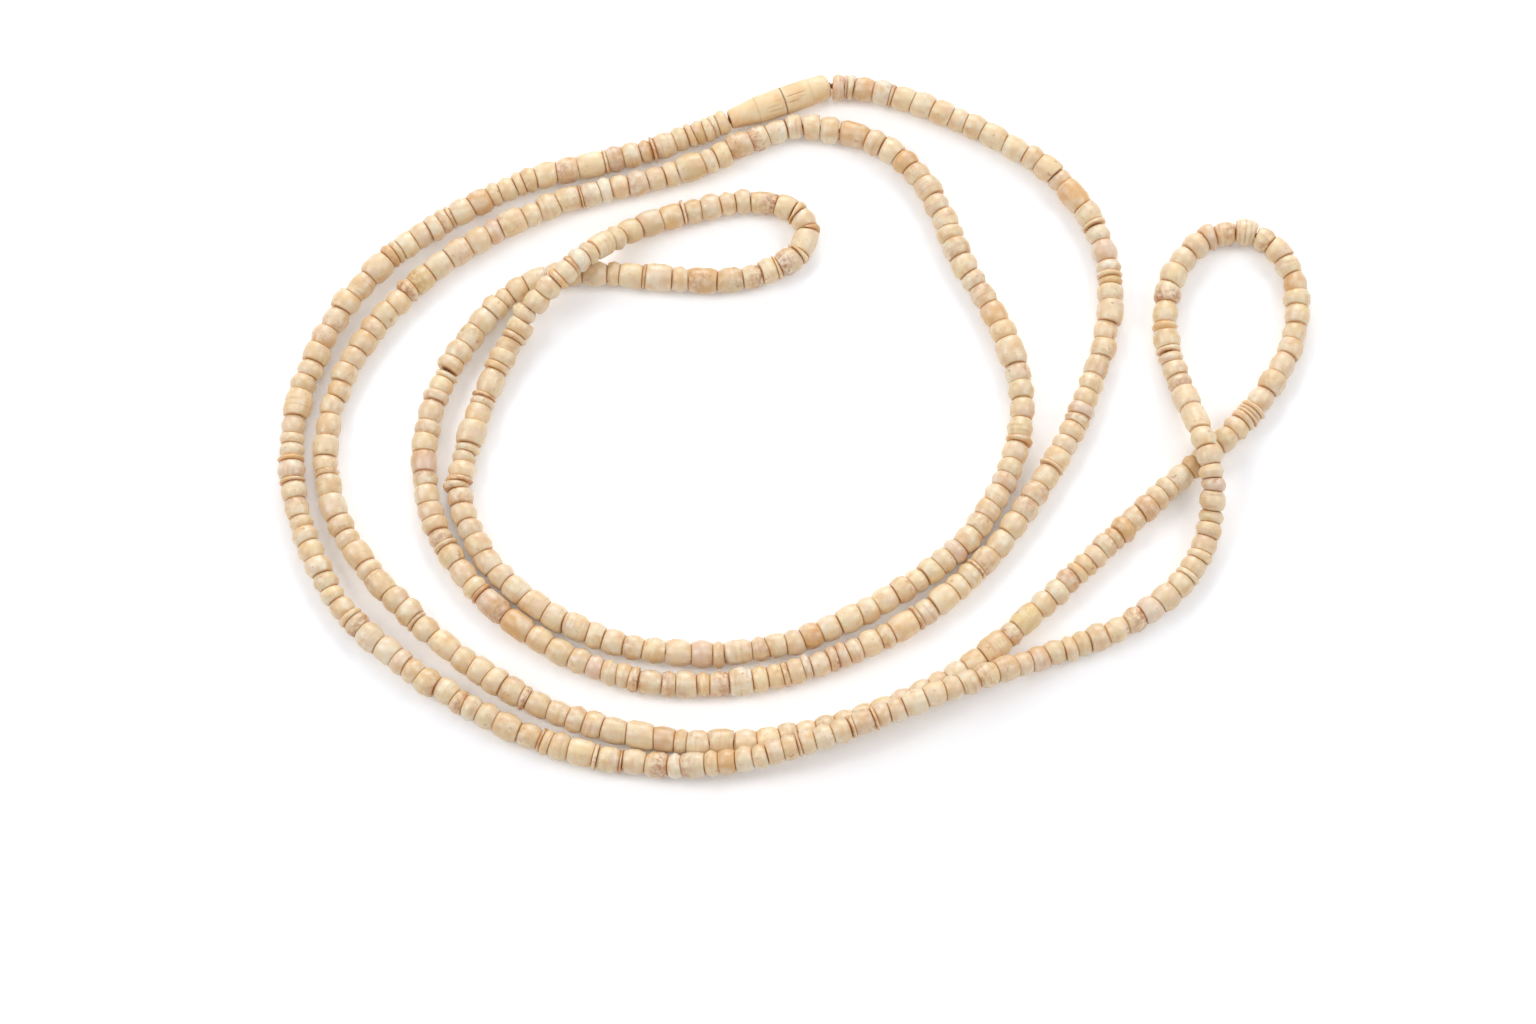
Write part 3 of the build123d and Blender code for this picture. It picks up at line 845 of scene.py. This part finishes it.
class NECKLACE_OT_thread(bpy.types.Operator):
    """Runs the thread through all the beads to its two knotted ends in the clasp, and finishes those"""

    bl_idname = "necklace.thread"
    bl_label = "Thread"

    def execute(self, context):
        thread = context.scene.necklace.thread
        beads = lay_beads(context.scene.necklace.bead)
        half = beads["way"] * beads["length"][:, None] / 2
        passed = np.empty((2 * len(half) - 1, 3))
        passed[::2] = beads["centre"]
        passed[1::2] = (beads["centre"][1:] - half[1:] + beads["centre"][:-1] + half[:-1]) / 2
        start = clasp_point(SOCKET_HALF_LENGTH + THREAD_REACH) * MM
        finish = clasp_point(-SCREW_HALF_LENGTH - THREAD_REACH) * MM
        first_hole = beads["centre"][0] - half[0]
        last_hole = beads["centre"][-1] + half[-1]
        middle = np.vstack((start, first_hole, passed, last_hole, finish))
        count = len(middle)
        way = np.gradient(middle, axis=0)
        way /= np.linalg.norm(way, axis=1)[:, None]
        side = level_side(way)
        up = np.cross(side, way)
        # A circle carried square to the line through the beads' middles and the joints between them
        turns = np.linspace(0, 2 * math.pi, thread.sides, endpoint=False)[None, :, None]
        ring = side[:, None] * np.cos(turns) + up[:, None] * np.sin(turns)
        places = middle[:, None] + ring * thread.width / 2
        round_faces = grid_faces(1, count, thread.sides)[: (count - 1) * thread.sides]
        start_cap = np.arange(thread.sides)
        end_cap = start_cap[::-1] + (count - 1) * thread.sides
        material = waxed_cotton(thread)
        piece = new_mesh_object("string_thread", places, [*round_faces, start_cap, end_cap], material)
        for node in ("thread_end_screw", "thread_end_socket"):
            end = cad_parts[node]
            end.data.materials.clear()
            end.data.materials.append(material)
        return {"FINISHED"}


# Clasp


def rounded_outline(corners):
    """Points of an outline from its corners, each given as along, radius and rounding: a rounded corner
    becomes an arc that touches both its runs, and each run is cut into pieces short enough for grooves."""
    corners = np.array(corners, float)
    arcs = []
    for index, (along, radius, rounding) in enumerate(corners):
        corner = np.array((along, radius))
        if rounding == 0:
            arcs.append([corner])
            continue
        before = corners[index - 1, :2] - corner
        after = corners[(index + 1) % len(corners), :2] - corner
        before /= np.linalg.norm(before)
        after /= np.linalg.norm(after)
        half = math.acos(before @ after) / 2
        centre = corner + (before + after) / np.linalg.norm(before + after) * rounding / math.sin(half)
        start = corner + before * rounding / math.tan(half) - centre
        end = corner + after * rounding / math.tan(half) - centre
        swing = math.pi - 2 * half
        shares = np.linspace(0, 1, ARC_POINTS)[:, None]
        turned = np.sin((1 - shares) * swing) * start + np.sin(shares * swing) * end
        arcs.append(centre + turned / math.sin(swing))
    points = np.vstack(arcs)
    rows = []
    for point, following in zip(points, np.roll(points, -1, axis=0)):
        parts = max(1, math.ceil(np.linalg.norm(following - point) / OUTLINE_STEP))
        rows.append(point + (following - point) * np.linspace(0, 1, parts, endpoint=False)[:, None])
    return np.vstack(rows)


def groove_cuts(clasp, along, turns, grooves, seam):
    """How deep the grooves are at each point of one half, as a share of the deepest.

    A groove is cut where its row says: depth = share * exp(-(w / width) ** 2) for the way w round the collar
    from the groove's middle, faded in and out over a short stretch at both its ends."""
    cut = np.zeros((len(along), turns.shape[1]))
    ends = np.abs(along - seam)
    for turn, start, length, share in grooves:
        aside = np.angle(np.exp(1j * (turns - math.radians(turn)))) * CLASP_RADIUS
        fade = np.clip((ends - start) / GROOVE_FADE, 0, 1)
        fade = fade * np.clip((start + length - ends) / GROOVE_FADE, 0, 1)
        cut = np.maximum(cut, share * fade * np.exp(-((aside / (clasp.groove_width / MM)) ** 2)))
    return cut


def clasp_half(clasp, corners, grooves, seam, collar_end):
    """One half of the clasp: its points, and how much grime and painted shade lies on each, by the seam, in
    the mouth and in the grooves, and painted shade by the collar's step.

    A point lies at its outline's place along the clasp's axis, and as far from it as the outline's radius,
    less the groove's depth there and a small share times 1 - cos(2 t + along) of the radius."""
    outline = rounded_outline(corners)
    along = outline[:, :1]
    profile_radius = outline[:, 1:]
    turns = np.linspace(0, 2 * math.pi, clasp.sides, endpoint=False)[None]
    outside = profile_radius > SKIN_RADIUS
    cut = groove_cuts(clasp, along, turns, grooves, seam) * outside
    wobble = CLASP_WOBBLE * np.cos(2 * turns + along) * outside
    radius = (profile_radius - cut * clasp.groove_depth / MM) * (1 - CLASP_WOBBLE + wobble)
    way = clasp_point(1.0) - clasp_point(0.0)
    side = np.array((way[1], -way[0], 0.0))
    up = np.array((0.0, 0.0, 1.0))
    ring = up * np.cos(turns)[..., None] + side * np.sin(turns)[..., None]
    places = clasp_point(0.0) + along[..., None] * way + radius[..., None] * ring
    # Painted shade, with grime: darker near the seam and the collar's step, in the mouth and in the grooves
    near = np.clip(1 - np.abs(along - np.array((seam, collar_end))) / (clasp.grime_and_shade_reach / MM), 0, 1)
    at_edges = (near * EDGE_GRIME_AND_SHADE).max(axis=1, keepdims=True) * outside
    in_mouth = np.clip((MOUTH_RADIUS + MOUTH_FADE / 2 - profile_radius) / MOUTH_FADE, 0, 1)
    return places * MM, np.maximum(np.maximum(at_edges, in_mouth), cut * clasp.groove_grime_and_shade)


def moulded_plastic(clasp):
    """Moulded tan plastic made to look like the wood: a satin skin, faint clouding, a few warm spots, and
    grime with painted shade in its grooves, its seam and its hollows, and painted shade at its collar's step."""
    material, tree = new_material("moulded_tan_plastic")
    place = add_node(tree, "ShaderNodeTexCoord").outputs["Object"]
    grime_and_shade = add_node(tree, "ShaderNodeAttribute", {"attribute_name": "clasp_grime"}).outputs["Fac"]
    # Clouds 2.5 mm wide, and a skin with a texture of 0.25 mm, coarser than a mould's so that it shows
    broad = add_node(tree, "ShaderNodeTexNoise", Vector=place, Scale=0.4 / MM, Detail=2.0).outputs["Color"]
    warm, pale, spots = add_node(tree, "ShaderNodeSeparateColor", Color=broad).outputs
    clouds = (
        (warm, 0.48, 0.7, 0.5, clasp.blotch),
        (pale, 0.5, 0.68, 0.5, clasp.pale),
        (spots, 0.6, 0.7, 0.4, clasp.blotch),
        # Grime and painted shade in the grooves, seam and mouths, and painted shade at the step
        (grime_and_shade, 0.0, 1.0, MARK_COVER, clasp.grime_and_shade),
    )
    fine = add_node(tree, "ShaderNodeTexNoise", Vector=place, Scale=4 / MM, Detail=2.0).outputs["Fac"]
    bump = add_node(tree, "ShaderNodeBump", Height=fine, Strength=0.25, Distance=0.03 * MM)
    shader = add_node(
        tree,
        "ShaderNodeBsdfPrincipled",
        Base_Color=clouded(tree, clasp.colour, clouds),
        Roughness=0.42,
        Normal=bump.outputs["Normal"],
        IOR=1.5,
        Subsurface_Weight=0.15,
        Subsurface_Radius=(1.0, 0.7, 0.4),
        Subsurface_Scale=0.5 * MM,
    )
    add_node(tree, "ShaderNodeOutputMaterial", Surface=shader.outputs["BSDF"])
    return material


class NECKLACE_OT_clasp(bpy.types.Operator):
    """Turns both halves of the screw clasp from their outlines and cuts their finger grooves"""

    bl_idname = "necklace.clasp"
    bl_label = "Screw Clasp"

    def execute(self, context):
        clasp = context.scene.necklace.clasp
        material = moulded_plastic(clasp)
        left = (SCREW_HALF_OUTLINE, SCREW_HALF_GROOVES, 0.0, -SCREW_COLLAR_LENGTH)
        right = (SOCKET_HALF_OUTLINE, SOCKET_HALF_GROOVES, SEAM_GAP, SOCKET_COLLAR_END)
        for name, node, form in (
            ("clasp_left_half", "clasp_screw_half", left),
            ("clasp_right_half", "clasp_socket_half", right),
        ):
            places, grime_and_shade = clasp_half(clasp, *form)
            piece = new_mesh_object(name, places, grid_faces(1, *grime_and_shade.shape), material)
            point_attribute(piece, "clasp_grime", "FLOAT", grime_and_shade)
            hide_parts(node)
        return {"FINISHED"}


# Stage


def white_paper(stage):
    """Seamless white paper on a light table, matt and faintly mottled. The faint light from below keeps the
    shadows as pale as in the photo."""
    material, tree = new_material("white_paper")
    place = add_node(tree, "ShaderNodeTexCoord").outputs["Object"]
    # Mottling 2 mm wide
    fibres = add_node(tree, "ShaderNodeTexNoise", Vector=place, Scale=0.5 / MM, Detail=2.0).outputs["Fac"]
    shader = add_node(
        tree,
        "ShaderNodeBsdfPrincipled",
        Base_Color=clouded(tree, stage.floor_colour, ((fibres, 0.0, 1.0, 0.04, linear(PAPER_FIBRES)),)),
        Roughness=0.9,
        Specular_IOR_Level=0.1,
        Emission_Color=(1.0, 1.0, 1.0),
        Emission_Strength=stage.table_glow,
    )
    add_node(tree, "ShaderNodeOutputMaterial", Surface=shader.outputs["BSDF"])
    return material


def add_softbox(name, place, power):
    """A square area light at a place, turned to the middle of the necklace."""
    lamp = bpy.data.lights.new(name, "AREA")
    lamp.shape = "SQUARE"
    lamp.size = SOFTBOX_SIZE
    lamp.energy = power
    holder = bpy.data.objects.new(name, lamp)
    holder.location = place
    holder.rotation_euler = (-Vector(place)).to_track_quat("-Z", "Y").to_euler()
    bpy.context.scene.collection.objects.link(holder)


class NECKLACE_OT_stage(bpy.types.Operator):
    """Lays the white floor and sets the soft lights and the camera"""

    bl_idname = "necklace.stage"
    bl_label = "Stage"

    def execute(self, context):
        stage = context.scene.necklace.stage
        scene = context.scene
        corners = np.array([(-1, -1, 0), (1, -1, 0), (1, 1, 0), (-1, 1, 0)]) * FLOOR_HALF
        mesh = bpy.data.meshes.new("paper_floor")
        mesh.from_pydata(corners, [], [(0, 1, 2, 3)])
        mesh.materials.append(white_paper(stage))
        floor = bpy.data.objects.new("paper_floor", mesh)
        scene.collection.objects.link(floor)
        for name, place, power, share in SOFTBOXES:
            add_softbox(name, place, getattr(stage, power) * share)
        world = bpy.data.worlds.new("white_room")
        world.use_nodes = True
        sky = next(node for node in world.node_tree.nodes if node.type == "BACKGROUND")
        sky.inputs["Color"].default_value = (*linear(ROOM_LIGHT), 1.0)
        sky.inputs["Strength"].default_value = stage.sky_strength
        scene.world = world
        scene.view_settings.view_transform = "Standard"
        lens = bpy.data.cameras.new("camera")
        lens.sensor_width = SENSOR_WIDTH
        lens.lens = stage.distance / stage.pixel / PHOTO_WIDTH * SENSOR_WIDTH
        lens.clip_start = CAMERA_NEAR
        camera = bpy.data.objects.new("camera", lens)
        back = Vector((0, -math.cos(stage.elevation), math.sin(stage.elevation)))
        camera.location = Vector(stage.aim) + back * stage.distance
        camera.rotation_euler = (-back).to_track_quat("-Z", "Y").to_euler()
        scene.collection.objects.link(camera)
        scene.camera = camera
        return {"FINISHED"}


class NECKLACE_PT_panel(bpy.types.Panel):
    bl_idname = "NECKLACE_PT_panel"
    bl_label = "Tulsi Bead Necklace"
    bl_space_type = "VIEW_3D"
    bl_region_type = "UI"
    bl_category = "Necklace"

    def draw(self, context):
        for operator in OPERATORS:
            self.layout.operator(operator.bl_idname)
        settings = context.scene.necklace
        for group in (settings.bead, settings.thread, settings.clasp, settings.stage):
            box = self.layout.box()
            for name in group.bl_rna.properties.keys():
                if name not in ("rna_type", "name"):
                    box.prop(group, name)


OPERATORS = (NECKLACE_OT_stage, NECKLACE_OT_bead_string, NECKLACE_OT_thread, NECKLACE_OT_clasp)
GROUPS = (BeadSettings, ThreadSettings, ClaspSettings, StageSettings, NecklaceSettings)
CLASSES = (*GROUPS, *OPERATORS, NECKLACE_PT_panel)


def register():
    for each in CLASSES:
        bpy.utils.register_class(each)
    bpy.types.Scene.necklace = bpy.props.PointerProperty(type=NecklaceSettings)


def unregister():
    del bpy.types.Scene.necklace
    for each in reversed(CLASSES):
        bpy.utils.unregister_class(each)


def main():
    register()
    bpy.ops.necklace.stage()
    bpy.ops.necklace.bead_string()
    bpy.ops.necklace.thread()
    bpy.ops.necklace.clasp()


if __name__ == "__main__":
    main()
